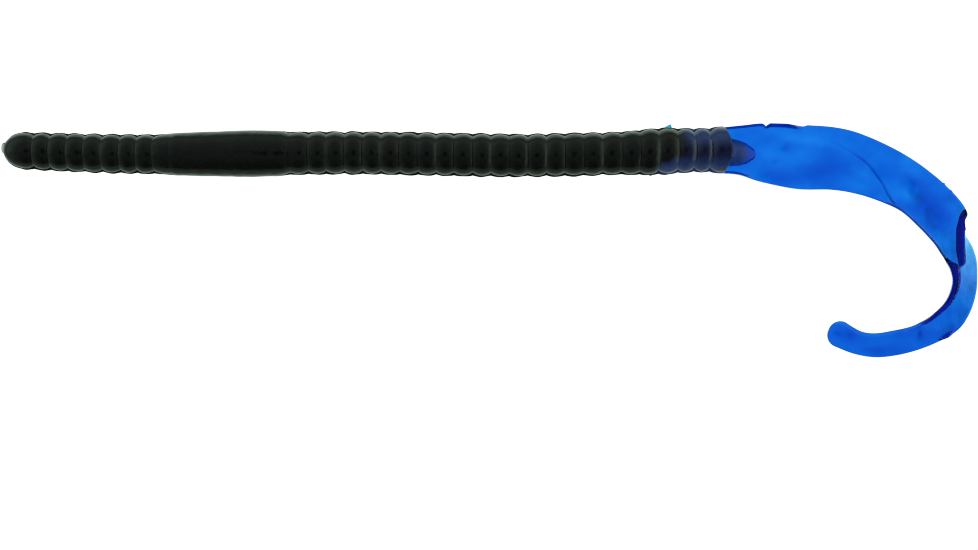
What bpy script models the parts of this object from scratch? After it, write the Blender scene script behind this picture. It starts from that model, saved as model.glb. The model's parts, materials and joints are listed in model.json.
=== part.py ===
"""Soft plastic ribbon-tail fishing worm, lying belly down.

Two castings make it: a black ribbed body, and a blue tail that starts as three ribs and runs out into a
flat hooked ribbon. Both bend anywhere, so each is divided into short links at its grooves. Body links meet
in a round end and a hollow, both centred on the groove, so that one swings in the other. Ribbon links meet
at a narrow slit.

Metres, +Z up. The origin is on the flat belly under the smooth band, and +X runs from nose to tail. The
tail hooks round towards -Y.
"""

import math

import bmesh
import bpy
from mathutils import Vector

MM = 0.001

# Driving dimensions of the body. BAND_FRONT is where the smooth band starts.
NOSE_LENGTH = 4.9 * MM
NOSE_ROUNDING = 4.2 * MM
BAND_FRONT = -8.0 * MM
BAND_LENGTH = 16.9 * MM
FRONT_PITCH = 2.41 * MM
REAR_PITCH = 2.63 * MM
COLLAR_PITCH = 2.3 * MM
RIB_DEPTH = 0.34 * MM
AXIS_HEIGHT = 1.95 * MM
GATE_RADIUS = 0.5 * MM
GATE_LENGTH = 0.3 * MM

# How far the body swells, as (distance from the origin, radius over the rib tops)
GIRTH = (
    (-28.0 * MM, 2.64 * MM),
    (-22.0 * MM, 2.76 * MM),
    (-10.0 * MM, 2.82 * MM),
    (-7.0 * MM, 3.08 * MM),
    (-2.6 * MM, 3.2 * MM),
    (3.4 * MM, 3.34 * MM),
    (6.6 * MM, 3.26 * MM),
    (9.5 * MM, 3.06 * MM),
    (55.0 * MM, 3.06 * MM),
    (61.5 * MM, 3.36 * MM),
    (66.5 * MM, 3.14 * MM),
    (70.8 * MM, 3.36 * MM),
)

# The band is the link that all the others hang from
BAND = "smooth_band"

# Links of the body from nose to tail: name, ribs, rib pitch, and how far its rear end lies off the X axis
BODY_LINKS = (
    ("nose", 2, FRONT_PITCH, 0.25 * MM),
    ("front_ribs_1", 3, FRONT_PITCH, 0.05 * MM),
    ("front_ribs_2", 3, FRONT_PITCH, 0.0),
    (BAND, 0, BAND_LENGTH, 0.12 * MM),
    ("rear_ribs_1", 3, REAR_PITCH, 0.18 * MM),
    ("rear_ribs_2", 3, REAR_PITCH, 0.1 * MM),
    ("rear_ribs_3", 3, REAR_PITCH, -0.05 * MM),
    ("rear_ribs_4", 3, REAR_PITCH, -0.17 * MM),
    ("rear_ribs_5", 3, REAR_PITCH, -0.07 * MM),
    ("rear_ribs_6", 3, REAR_PITCH, 0.15 * MM),
    ("rear_ribs_7", 3, REAR_PITCH, 0.5 * MM),
    ("tail_collar", 3, COLLAR_PITCH, 0.62 * MM),
)
NOSE_TIP_SWAY = 0.57 * MM
BELLY_BOX = ((-0.05, -0.05, -0.02), (0.12, 0.05, 0.0))

# Where body links meet. BALL_DEPTH is how much smaller than the groove the round end is, BALL_REACH where
# its flat tip lies as a share of its radius, and SHOULDER how far its link stops short of the groove. The
# next link can swing through SWING without touching.
SWING = math.radians(20.0)
LINK_GAP = 0.3 * MM
RIM_CLEARANCE = 0.1 * MM
SHOULDER = 0.5 * MM
BALL_DEPTH = 0.15 * MM
BALL_REACH = 0.6

TURN_STEPS = 18
RIB_SAMPLES = 4
BAND_SAMPLES = 9
NOSE_SAMPLES = 6
BALL_SAMPLES = 3
# Rows nearer to a link's end than this share of their spacing are left out
ROW_CLEARANCE = 0.25

# The ribbon: middle of its width, width, height of its outer edge over the belly plane, and the step that
# the ribbon makes down towards its outer edge, as a height and a distance from the inner edge
RIBBON_THICKNESS = 0.9 * MM
STEP_ROUNDING = 0.5 * MM
STATIONS = tuple(
    tuple(value * MM for value in row)
    for row in (
        (71.18, 0.60, 6.7, 0.0, 0.0, 6.7),
        (73.6, 0.53, 7.1, 0.0, 0.0, 7.1),
        (76.4, 0.19, 8.2, 0.0, 0.0, 8.2),
        (81.3, -0.31, 8.75, 0.0, 0.0, 8.75),
        (86.7, -0.54, 8.75, 0.0, 0.0, 8.75),
        (91.4, -1.75, 8.0, 0.2, 0.0, 8.0),
        (95.1, -3.85, 7.4, 0.5, 0.0, 7.4),
        (99.3, -6.4, 7.0, 0.9, 0.0, 7.0),
        (101.7, -8.8, 6.7, 1.1, 0.1, 6.7),
        (102.7, -10.2, 6.2, 0.9, 0.7, 6.0),
        (103.5, -12.2, 4.6, 0.3, 1.4, 3.9),
        (104.2, -13.75, 3.9, 0.0, 1.8, 2.3),
        (104.8, -15.4, 3.5, 0.0, 1.8, 1.2),
        (105.1, -17.3, 3.2, 0.0, 1.8, 0.45),
        (105.0, -19.3, 3.2, 0.0, 1.5, 0.45),
        (104.4, -21.3, 3.6, 0.0, 1.0, 0.45),
        (103.1, -23.2, 3.9, 0.0, 0.4, 0.45),
        (101.0, -24.9, 4.0, 0.0, 0.0, 0.45),
        (98.6, -26.0, 3.8, 0.0, 0.0, 0.45),
        (96.0, -26.75, 3.45, 0.0, 0.0, 0.45),
        (92.8, -27.15, 3.1, 0.0, 0.0, 0.45),
        (89.9, -26.7, 3.1, 0.0, 0.0, 0.45),
        (87.3, -25.6, 3.45, 0.0, 0.0, 0.45),
    )
)
# The ribbon's direction at a station is taken between points this far before and after it
STATION_STEP = 0.1
TIP_RADIUS = 1.75 * MM
TIP_TURNS = (25, 50, 70, 85)

# The curl also bends in its own plane, at stations where the slit widens towards both edges
SIDEWAYS_STATIONS = (18, 20)
SIDEWAYS_SWING = math.radians(12.0)
SLIT_SLOPE = math.tan(SIDEWAYS_SWING / 2 + math.radians(0.6))

# Links of the ribbon: name, first and last station, rows along it and across it
RIBBON_LINKS = (
    ("tail_root", 0, 2, 4, 4),
    ("tail_blade_1", 2, 3, 4, 2),
    ("tail_blade_2", 3, 4, 4, 2),
    ("tail_blade_3", 4, 6, 6, 2),
    ("tail_blade_4", 6, 8, 5, 4),
    ("tail_fold", 8, 16, 20, 14),
    ("tail_curl_1", 16, 18, 5, 4),
    ("tail_curl_2", 18, 20, 5, 2),
    ("tail_tip", 20, 22, 6, 2),
)

# The swelling that carries the last rib down onto the ribbon
CORE_LENGTH = 4.4 * MM
CORE_HALF_WIDTH = 2.35 * MM
CORE_HEIGHT = 3.9 * MM
CORE_BASE = 0.2 * MM
CORE_SIDES = 20

BLACK = (0.006, 0.007, 0.006)
DARK_BLUE = (0.012, 0.015, 0.075)
CLEAR_BLUE = (0.006, 0.16, 0.75)


def clear_scene():
    for obj in list(bpy.data.objects):
        bpy.data.objects.remove(obj)


def collection(name):
    made = bpy.data.collections.new(name)
    bpy.context.scene.collection.children.link(made)
    return made


def plastic(name, colour, roughness):
    material = bpy.data.materials.new(name)
    material.use_nodes = True
    shader = material.node_tree.nodes["Principled BSDF"]
    shader.inputs["Base Color"].default_value = (*colour, 1.0)
    shader.inputs["Roughness"].default_value = roughness
    shader.inputs["Metallic"].default_value = 0.0
    return material


def object_from(bm, name, group, material=None):
    mesh = bpy.data.meshes.new(name)
    bm.to_mesh(mesh)
    bm.free()
    if material:
        mesh.materials.append(material)
    obj = bpy.data.objects.new(name, mesh)
    group.objects.link(obj)
    return obj


def cutter(obj):
    obj.hide_render = True
    obj.display_type = "WIRE"
    return obj


def box(name, low, high, group):
    """A box between two opposite corners."""
    bm = bmesh.new()
    bmesh.ops.create_cube(bm, size=1.0)
    low, high = Vector(low), Vector(high)
    bmesh.ops.scale(bm, vec=high - low, verts=bm.verts)
    bmesh.ops.translate(bm, vec=(low + high) / 2, verts=bm.verts)
    return object_from(bm, name, group)


def boolean(obj, operation, other):
    modifier = obj.modifiers.new(other.name, "BOOLEAN")
    modifier.operation = operation
    modifier.object = other


def girth(x):
    """Radius over the rib tops at x, eased between the rows of GIRTH."""
    if x <= GIRTH[0][0]:
        return GIRTH[0][1]
    for (x0, r0), (x1, r1) in zip(GIRTH, GIRTH[1:]):
        if x <= x1:
            share = (x - x0) / (x1 - x0)
            return r0 + (r1 - r0) * share * share * (3 - 2 * share)
    return GIRTH[-1][1]


def ball_radius(x):
    """Radius of the round end at the groove at x."""
    return girth(x) - RIB_DEPTH - BALL_DEPTH


def rib_outline(x, start, pitch, ribs):
    """Radius of a run of ribs at x: each rib is an arch between two grooves. A run of no ribs is smooth."""
    if not ribs:
        return girth(x)
    across = ((x - start) / pitch) % 1.0 * 2 - 1
    return girth(x) - RIB_DEPTH * across * across


def arc(centre, radius, first, last):
    """(x, radius) points on a circle about the axis, from one distance past its centre to another."""
    a, b = math.acos(first / radius), math.acos(last / radius)
    angles = [a + (b - a) * i / BALL_SAMPLES for i in range(BALL_SAMPLES + 1)]
    return [(centre + radius * math.cos(angle), radius * math.sin(angle)) for angle in angles]


def ball_end(groove):
    """The round rear end of a link, from its shoulder to the middle of its flat tip."""
    radius = ball_radius(groove)
    reach = BALL_REACH * radius
    return arc(groove, radius, -SHOULDER, reach) + [(groove + reach, 0.0)]


def socket_end(groove, rim):
    """The hollow front end of a link, from the middle of its floor to its rim at rim past the groove.

    The floor lies just past the edge of the round end's tip at full swing."""
    radius = ball_radius(groove) + LINK_GAP
    tip_edge = math.acos(BALL_REACH) - SWING
    floor = ball_radius(groove) * math.cos(tip_edge) + LINK_GAP / 2
    return [(groove + floor, 0.0)] + arc(groove, radius, floor, rim)


def flat_rear(end):
    return [(end - LINK_GAP / 2, 0.0)]


def rim_place(groove, outline):
    """How far past the groove a link starts, so that its rim stays clear of the shoulder at full swing."""
    rim = 0.0
    for _ in range(4):
        rise = outline(groove + rim) * math.sin(SWING)
        rim = (rise - SHOULDER + RIM_CLEARANCE) / math.cos(SWING)
    return rim


def link_profile(start, end, pitch, ribs, has_ball=True):
    """(x, radius) points of a link between two grooves, from the floor of its hollow to its rear end."""

    def outline(x):
        return rib_outline(x, start, pitch, ribs)

    spacing = pitch / (RIB_SAMPLES if ribs else BAND_SAMPLES)
    rim = rim_place(start, outline)
    first = start + rim
    last = end - (SHOULDER if has_ball else LINK_GAP / 2)
    rows = [start + i * spacing for i in range(round((end - start) / spacing) + 1)]
    margin = spacing * ROW_CLEARANCE
    rows = [first] + [x for x in rows if first + margin < x < last - margin] + [last]
    skin = [(x, outline(x)) for x in rows]
    return socket_end(start, rim) + skin + (ball_end(end) if has_ball else flat_rear(end))


def nose_profile(tip, groove, end):
    """(x, radius) points of the nose link: the gate's stub, the blunt nose, and the ribs behind it."""
    radius = girth(groove) - RIB_DEPTH
    front = tip + GATE_LENGTH
    points = [(tip, 0.0), (tip, GATE_RADIUS)]
    first = math.asin(GATE_RADIUS / radius)
    for i in range(NOSE_SAMPLES + 1):
        angle = first + (math.pi / 2 - first) * i / NOSE_SAMPLES
        points.append((front + NOSE_ROUNDING * (1 - math.cos(angle)), radius * math.sin(angle)))
    ribs = round((end - groove) / FRONT_PITCH)
    spacing = FRONT_PITCH / RIB_SAMPLES
    rows = [groove + i * spacing for i in range(ribs * RIB_SAMPLES)]
    rows = [x for x in rows if x < end - SHOULDER - spacing * ROW_CLEARANCE] + [end - SHOULDER]
    return points + [(x, rib_outline(x, groove, FRONT_PITCH, ribs)) for x in rows] + ball_end(end)


def turned(name, profile, start, end, origin, group, material, belly):
    """A link turned about the line from start to end, with the belly cut flat and its origin at origin."""
    bm = bmesh.new()
    rings = [bm.verts.new((x - origin.x, 0.0, radius)) for x, radius in profile]
    for a, b in zip(rings, rings[1:]):
        bm.edges.new((a, b))
    obj = object_from(bm, name, group, material)
    screw = obj.modifiers.new("turn", "SCREW")
    screw.axis = "X"
    screw.steps = TURN_STEPS
    screw.render_steps = TURN_STEPS
    screw.use_merge_vertices = True
    screw.merge_threshold = 0.01 * MM
    screw.use_normal_calculate = True
    boolean(obj, "DIFFERENCE", belly)
    obj.location = origin
    obj.rotation_euler = (0.0, 0.0, math.atan2(end.y - start.y, end.x - start.x))
    return obj


def spline(rows, at):
    """The rows' values at a place counted in rows, on a Catmull-Rom curve through them."""
    i = min(int(at), len(rows) - 2)
    t = at - i
    near = [rows[max(0, min(len(rows) - 1, i + k))] for k in (-1, 0, 1, 2)]
    weights = (
        -0.5 * t + t * t - 0.5 * t**3,
        1 - 2.5 * t * t + 1.5 * t**3,
        0.5 * t + 2 * t * t - 1.5 * t**3,
        -0.5 * t * t + 0.5 * t**3,
    )
    return [sum(w * row[k] for w, row in zip(weights, near)) for k in range(len(rows[0]))]


def eased(x):
    x = max(0.0, min(1.0, x))
    return x * x * (3 - 2 * x)


def section_at(at):
    """Centre, forward and outward directions, width, outer height, step height and step place at a station."""
    x, y, width, height, step, place = spline(STATIONS, at)
    before = spline(STATIONS, max(0.0, at - STATION_STEP))
    after = spline(STATIONS, min(len(STATIONS) - 1, at + STATION_STEP))
    forward = Vector((after[0] - before[0], after[1] - before[1], 0.0)).normalized()
    outward = Vector((-forward.y, forward.x, 0.0))
    return Vector((x, y, 0.0)), forward, outward, width, max(0.0, height), max(0.0, step), place


def section_walk(width, step, place, steps=48):
    """(across, fall) along the ribbon's middle surface from the inner edge: flat, steep down the step, flat."""
    length = width + step
    across, fall = 0.0, 0.0
    walked = [(across, fall)]
    for i in range(steps):
        along = (i + 0.5) / steps * length
        steep = eased((along - place) / STEP_ROUNDING + 0.5)
        steep -= eased((along - place - step) / STEP_ROUNDING + 0.5)
        slope = steep * math.pi / 2 * min(1.0, step / STEP_ROUNDING)
        across += math.cos(slope) * length / steps
        fall += math.sin(slope) * length / steps
        walked.append((across, fall))
    return walked


def section_points(at, columns, lean=0.0):
    """Points of the ribbon's middle surface across a station, from the inner edge to the outer one.

    lean moves each point along the ribbon by that share of its distance from the middle."""
    centre, forward, outward, width, height, step, place = section_at(at)
    walked = section_walk(width, step, place)
    full_across, full_fall = walked[-1]
    points = []
    for column in range(columns + 1):
        across, fall = walked[round(column / columns * (len(walked) - 1))]
        offset = (across / full_across - 0.5) * width
        rise = RIBBON_THICKNESS / 2 + height + full_fall - fall
        points.append(centre + outward * offset + forward * abs(offset) * lean + Vector((0.0, 0.0, rise)))
    return points


def sheet(name, sections, origin, group, material):
    """A thick sheet through rows of points, with its origin at origin."""
    bm = bmesh.new()
    grid = [[bm.verts.new(point - origin) for point in section] for section in sections]
    for row, following in zip(grid, grid[1:]):
        for a, b, c, d in zip(row, row[1:], following[1:], following):
            bm.faces.new((a, d, c, b))
    obj = object_from(bm, name, group, material)
    obj.location = origin
    solidify = obj.modifiers.new("thickness", "SOLIDIFY")
    solidify.thickness = RIBBON_THICKNESS
    solidify.offset = 0.0
    solidify.use_even_offset = True
    solidify.use_quality_normals = True
    return obj


def hinge_place(station):
    """The middle of the ribbon's section at a station, where two links hinge."""
    centre, _, _, _, height, step, _ = section_at(station)
    return centre + Vector((0.0, 0.0, RIBBON_THICKNESS / 2 + height + step / 2))


def slit_share(station, following):
    """Half the slit between two links, as a share of the way from one station to the next."""
    here, there = STATIONS[station], STATIONS[following]
    return LINK_GAP / 2 / math.hypot(there[0] - here[0], there[1] - here[1])


def ribbon_link(name, first, last, rows, columns, group, material):
    """A link of the ribbon between two stations. Its ends lean away from the slits that open sideways."""
    start = first + (slit_share(first, first + 1) if first else 0.0)
    is_tip = last == len(STATIONS) - 1
    end = last if is_tip else last - slit_share(last, last - 1)
    sections = []
    for i in range(rows + 1):
        share = i / rows
        lean = 0.0
        if first in SIDEWAYS_STATIONS:
            lean += SLIT_SLOPE * max(0.0, 1 - 2 * share)
        if last in SIDEWAYS_STATIONS:
            lean -= SLIT_SLOPE * max(0.0, 2 * share - 1)
        sections.append(section_points(start + (end - start) * share, columns, lean))
    if is_tip:
        sections += tip_sections(columns)
    return sheet(name, sections, hinge_place(first), group, material)


def tip_sections(columns):
    """Narrowing rows past the last station, which round off the tip."""
    centre, forward, outward, width, *_ = section_at(len(STATIONS) - 1)
    sections = []
    for degrees in TIP_TURNS:
        angle = math.radians(degrees)
        middle = centre + forward * TIP_RADIUS * math.sin(angle) + Vector((0.0, 0.0, RIBBON_THICKNESS / 2))
        half = outward * width / 2 * math.cos(angle)
        sections.append([middle + half * (2 * column / columns - 1) for column in range(columns + 1)])
    return sections


def add_core(root, group):
    """Joins the swelling to the root of the ribbon: the rear upper quarter of an egg."""
    bm = bmesh.new()
    bmesh.ops.create_uvsphere(bm, u_segments=CORE_SIDES, v_segments=CORE_SIDES // 2, radius=1.0)
    bmesh.ops.scale(bm, vec=(CORE_LENGTH, CORE_HALF_WIDTH, CORE_HEIGHT), verts=bm.verts)
    core = cutter(object_from(bm, "core", group))
    core.location = (STATIONS[0][0], STATIONS[0][1], CORE_BASE)
    x, y, _ = core.location
    far = 2 * CORE_LENGTH
    front = cutter(box("core_front", (x - far, y - far, -far), (x, y + far, far), group))
    under = cutter(box("core_under", (x - far, y - far, -far), (x + far, y + far, CORE_BASE / 2), group))
    boolean(core, "DIFFERENCE", front)
    boolean(core, "DIFFERENCE", under)
    boolean(root, "UNION", core)


def joint_places():
    """The points where body links meet, from the nose tip to the ribbon's root."""
    length = NOSE_LENGTH + BODY_LINKS[0][1] * FRONT_PITCH
    names = [link[0] for link in BODY_LINKS]
    before_band = [ribs * pitch for _, ribs, pitch, _ in BODY_LINKS[1 : names.index(BAND)]]
    x = BAND_FRONT - length - sum(before_band)
    places = [Vector((x, NOSE_TIP_SWAY, AXIS_HEIGHT))]
    for i, (_, ribs, pitch, sway) in enumerate(BODY_LINKS):
        x += length if i == 0 else max(ribs, 1) * pitch
        places.append(Vector((x, sway, AXIS_HEIGHT)))
    return places


def body_links(group, cutters, black, dark_blue):
    """The links from the nose to the collar. Those before the smooth band swing about their rear ends."""
    belly = cutter(box("belly_plane", *BELLY_BOX, cutters))
    places = joint_places()
    band = [link[0] for link in BODY_LINKS].index(BAND)
    made = []
    for i, (name, ribs, pitch, _) in enumerate(BODY_LINKS):
        start, end = places[i], places[i + 1]
        is_nose, is_collar = i == 0, i == len(BODY_LINKS) - 1
        if is_nose:
            profile = nose_profile(start.x, start.x + NOSE_LENGTH, end.x)
        else:
            profile = link_profile(start.x, end.x, pitch, ribs, has_ball=not is_collar)
        origin = end if i < band else start
        material = dark_blue if is_collar else black
        made.append(turned(name, profile, start, end, origin, group, material, belly))
    return made


def chain(links, band):
    """Parents each link to the one next to it on the side of the smooth band, leaving it where it is."""
    bpy.context.view_layer.update()
    for i, link in enumerate(links):
        if i == band:
            continue
        link.parent = links[i + 1] if i < band else links[i - 1]
        link.matrix_parent_inverse = link.parent.matrix_world.inverted()


def main():
    clear_scene()
    worm = collection("soft_plastic_worm")
    cutters = collection("cutters")
    black = plastic("black_plastic", BLACK, 0.25)
    dark_blue = plastic("dark_blue_plastic", DARK_BLUE, 0.25)
    clear_blue = plastic("clear_blue_plastic", CLEAR_BLUE, 0.15)

    links = body_links(worm, cutters, black, dark_blue)
    band = [link.name for link in links].index(BAND)
    for link in RIBBON_LINKS:
        links.append(ribbon_link(*link, worm, clear_blue))
    root = links[len(BODY_LINKS)]
    add_core(root, cutters)
    chain(links, band)


main()
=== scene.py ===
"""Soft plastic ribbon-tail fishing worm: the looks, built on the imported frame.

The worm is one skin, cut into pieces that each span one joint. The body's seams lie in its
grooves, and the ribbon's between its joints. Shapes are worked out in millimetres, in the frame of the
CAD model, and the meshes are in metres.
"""

import json
import math

import bpy
import numpy as np
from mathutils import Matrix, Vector, noise


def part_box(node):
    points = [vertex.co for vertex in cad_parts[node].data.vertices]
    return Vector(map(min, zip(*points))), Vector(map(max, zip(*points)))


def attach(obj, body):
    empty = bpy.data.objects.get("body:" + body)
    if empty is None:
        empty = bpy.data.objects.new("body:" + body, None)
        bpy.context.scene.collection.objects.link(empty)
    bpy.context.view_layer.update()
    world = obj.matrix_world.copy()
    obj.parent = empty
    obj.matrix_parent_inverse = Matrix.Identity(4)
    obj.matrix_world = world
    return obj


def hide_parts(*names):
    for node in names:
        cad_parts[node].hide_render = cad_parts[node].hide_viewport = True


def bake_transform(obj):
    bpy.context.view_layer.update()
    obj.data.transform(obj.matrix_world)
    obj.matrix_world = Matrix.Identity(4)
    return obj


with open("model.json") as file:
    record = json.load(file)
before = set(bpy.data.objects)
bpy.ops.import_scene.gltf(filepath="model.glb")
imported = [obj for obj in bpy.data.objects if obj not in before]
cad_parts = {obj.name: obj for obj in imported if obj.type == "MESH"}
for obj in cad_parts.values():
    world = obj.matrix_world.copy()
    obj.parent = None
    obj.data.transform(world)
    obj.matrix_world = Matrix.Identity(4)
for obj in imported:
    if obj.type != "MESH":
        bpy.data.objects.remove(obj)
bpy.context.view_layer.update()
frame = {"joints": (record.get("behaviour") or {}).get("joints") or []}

MM = 0.001
JOINTS = {joint["name"]: joint for joint in frame["joints"]}

# ----------------------------------------------------------------------------------------------------
# Body
# ----------------------------------------------------------------------------------------------------

# The body's axis above its flat belly, and the rounding of the edges of the belly
AXIS_HEIGHT = 1.95
BELLY_ROUNDING = 0.22

# The ribs: how many in a link, how deep the grooves between them are, and how far the grooves at the
# smooth band reach along it
RIBS_IN_LINK = 3
RIB_DEPTH = 0.33
BAND_DIP = 1.3

# How far the ribs behind and before the band lie forward of an even spacing, at most
REAR_DRIFT = 0.35
FRONT_DRIFT = 0.23

# The grooves near the collar are this much deeper, and on the smooth band only this share is left
COLLAR_GROOVES = 1.25
BAND_GROOVES = 0.12

# The round nose: its length, how blunt it is, and how far its middle lies off the X axis
NOSE_REACH = 3.5
NOSE_BLUNTNESS = 2.1
NOSE_MIDDLE = 0.57

# The pale stub of the gate: its length past the nose, and (share of it, half width) from the nose outward
GATE_LENGTH = 0.3
GATE_PROFILE = ((0.0, 0.8), (0.35, 0.78), (0.7, 0.66), (0.9, 0.5), (1.0, 0.3))
GATE_ROOT = 0.12
GATE_OFFSET = 0.3
GATE_FLATNESS = 0.55

# The end of the collar: a short blunt dome, and how far the last rings bulge toward the tail
DOME_LENGTH = 0.42
DOME_BACK = 0.4
DOME_BLUNTNESS = 2.6
COLLAR_BULGE = 0.72

# Distance between the skin's rings, and the height of its faint lumps
RING_STEP = 0.13
LUMP_HEIGHT = 0.025

# The body's girth: (x, radius over the rib tops)
GIRTH = (
    (-28.0, 2.56),
    (-22.0, 2.68),
    (-10.0, 2.74),
    (-7.0, 3.03),
    (-2.6, 3.17),
    (3.4, 3.31),
    (6.6, 3.23),
    (9.5, 2.98),
    (55.0, 2.98),
    (61.5, 3.27),
    (66.5, 3.06),
    (70.8, 3.25),
)

# The body's joints from nose to tail, with the two links that meet at each
BODY_JOINTS = (
    ("nose_side_bend", "nose", "front_ribs_1"),
    ("head_nod", "front_ribs_1", "front_ribs_2"),
    ("head_side_bend", "front_ribs_2", "smooth_band"),
    ("body_side_bend", "smooth_band", "rear_ribs_1"),
    ("body_lift", "rear_ribs_1", "rear_ribs_2"),
    ("body_side_bend_2", "rear_ribs_2", "rear_ribs_3"),
    ("body_lift_2", "rear_ribs_3", "rear_ribs_4"),
    ("body_side_bend_3", "rear_ribs_4", "rear_ribs_5"),
    ("body_lift_3", "rear_ribs_5", "rear_ribs_6"),
    ("body_side_bend_4", "rear_ribs_6", "rear_ribs_7"),
    ("body_lift_4", "rear_ribs_7", "tail_collar"),
)

# Scraps of flash: x, side, length along the body and how far they stand out
FLASH_AT_JOINT = (62.7, 1, 1.2, 0.65)
FLASH_ON_LINK = (60.0, -1, 0.7, 0.3)
FLASH_LINK = "rear_ribs_7"

# A scrap's root lies this far inside the skin. It is this thick, and slants this far back at its tip
FLASH_ROOT = 0.12
FLASH_THICKNESS = 0.11
FLASH_SLANT = 0.3

# The web of plastic at the mould's parting line, which half fills the grooves at the body's widest height
WEB_FILL = 0.5
WEB_ANGLE = 3.4
WEB_LIP = 0.11

# ----------------------------------------------------------------------------------------------------
# Ribbon
# ----------------------------------------------------------------------------------------------------

THICKNESS = 0.88
EDGE_ROUNDING = 0.16

# The ribbon from the collar to the tip: (x, y) of its inner edge, then of its outer edge. A place along
# the ribbon is told by its station, which counts these rows
EDGES = (
    (70.85, -2.50, 70.85, 3.75),
    (73.10, -2.72, 73.60, 4.02),
    (76.30, -3.72, 76.60, 4.30),
    (81.40, -4.72, 81.60, 4.15),
    (86.30, -4.85, 87.20, 3.70),
    (90.00, -5.50, 91.60, 2.35),
    (93.20, -6.65, 97.00, -0.48),
    (96.20, -8.20, 101.10, -3.62),
    (98.80, -10.60, 104.10, -6.62),
    (100.50, -12.45, 105.30, -8.55),
    (101.25, -13.40, 105.02, -9.75),
    (101.75, -14.20, 105.20, -11.05),
    (102.35, -15.10, 105.95, -12.30),
    (102.95, -16.00, 106.55, -13.60),
    (103.28, -16.95, 106.95, -15.20),
    (103.45, -18.15, 107.02, -17.40),
    (103.10, -19.65, 106.80, -19.80),
    (102.38, -21.10, 106.15, -22.00),
    (101.20, -22.35, 104.60, -24.55),
    (99.80, -23.60, 101.90, -26.35),
    (97.90, -24.65, 98.90, -27.65),
    (94.90, -25.35, 95.60, -28.50),
    (92.50, -25.70, 92.50, -28.80),
    (90.40, -25.40, 89.60, -28.35),
    (88.17, -24.11, 86.83, -27.29),
)

# The round tip: its radius, and the turns round it in degrees at which it has a ring
TIP_RADIUS = 1.75
TIP_TURNS = (8, 16, 24, 32, 40, 48, 56, 64, 71, 77, 82, 86)

# Along the stations: height of the upper level, and how far the lower level lies below it
LEVELS = (
    (0.0, 0.0, 0.0),
    (3.8, 0.0, 0.0),
    (5.0, 0.35, 0.0),
    (6.0, 0.8, 0.0),
    (7.0, 1.15, 0.0),
    (8.6, 1.2, 0.0),
    (9.1, 1.2, 1.1),
    (9.8, 1.2, 1.2),
    (17.5, 1.2, 1.2),
    (18.6, 1.05, 1.05),
    (19.1, 0.7, 0.7),
    (19.5, 0.0, 0.0),
    (24.0, 0.0, 0.0),
)

# The fold's first wall, which stands from one x to another, and where along the stations it stands
FIRST_WALL = (
    (8.6, 104.9, 106.2),
    (8.9, 104.45, 106.2),
    (9.4, 104.2, 106.0),
    (10.0, 104.05, 105.3),
    (12.0, 104.1, 105.15),
    (13.8, 104.5, 105.15),
)
WALL_START, WALL_END = 8.6, 13.8

# The second wall, which is the inner edge turned down: its width
SECOND_WALL = (
    (11.8, 0.0),
    (12.5, 0.3),
    (13.0, 0.7),
    (13.5, 1.1),
    (14.0, 0.95),
    (15.0, 0.8),
    (17.0, 0.74),
    (18.0, 0.62),
    (19.0, 0.42),
    (19.5, 0.3),
)

# How far the foot of the inner edge is drawn back under it, and how far along the section that reaches
UNDERCUT = ((3.0, 0.0), (5.0, 0.08), (8.0, 0.14), (13.0, 0.32), (14.5, 0.4), (18.0, 0.34), (19.5, 0.06))
UNDERCUT_REACH = 0.7

# How far the walls' tops are domed, and half the width over which a level changes to another
WALL_CROWN = 0.06
WALL_SHARPNESS = 0.15

# The low rim on the inner edge before and along the second wall: its height
FOLD_RIM = 0.22

# The lower level beside the walls: thickness, and how far it slopes down to the outer edge
LOWER_LEVEL = (
    (9.6, 0.4, 0.2),
    (10.8, 0.24, 0.7),
    (11.8, 0.28, 1.1),
    (13.0, 0.46, 1.3),
    (15.0, 0.66, 1.1),
    (16.5, 0.78, 0.7),
    (18.2, 0.98, 0.0),
    (24.0, 0.98, 0.0),
)

# Between these stations the lower level's slope widens from the first wall's foot to the second's
SLOPE_START, SLOPE_END = 11.0, 14.6

# No part of the ribbon is thinner than this
LEAST_THICKNESS = 0.12

# The ribbon's joints: name, the two links, and the joint's station
RIBBON_JOINTS = (
    ("tail_lift", "tail_collar", "tail_blade_1", 2),
    ("tail_lift_2", "tail_blade_1", "tail_blade_2", 3),
    ("tail_lift_3", "tail_blade_2", "tail_blade_3", 4),
    ("tail_flick", "tail_blade_3", "tail_blade_4", 6),
    ("tail_flick_2", "tail_blade_4", "tail_fold", 8),
    ("tail_flick_3", "tail_fold", "tail_curl_1", 18),
    ("curl_open", "tail_curl_1", "tail_curl_2", 20),
    ("curl_open_2", "tail_curl_2", "tail_tip", 22),
)

# The core that runs from the last rib down onto the ribbon: where it starts, its length, its y there and
# how far it drifts from it, its half width, and its height at the rib and at its tip over its floor
CORE_START, CORE_LENGTH = 70.7, 4.7
CORE_MIDDLE, CORE_DRIFT = 0.45, -0.35
CORE_HALF_WIDTH = 2.15
CORE_HEIGHT, CORE_TIP_HEIGHT = 2.6, 0.52
CORE_FLOOR = 0.45

# Shares of its length at which the core has a ring, and how uneven its outline and its back are
CORE_RINGS = (0.0, 0.1, 0.2, 0.3, 0.4, 0.5, 0.6, 0.7, 0.78, 0.85, 0.91, 0.95, 0.98)
CORE_STEPS = 24
CORE_WAVE = 0.16
CORE_LUMPS = 0.2

# The plastic's index of refraction
PLASTIC_IOR = 1.48

# Pieces of the ribbon reach this far into each other, so that light goes straight on through the cuts.
# The cuts lean the way that light runs inside the plastic towards a place above the worm's middle
SEAM_OVERLAP = 0.002
SEAM_TOP = Vector((37.2, -17.2, 234.0))
SEAM_LEAN = 1 / PLASTIC_IOR / SEAM_TOP.z

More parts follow.
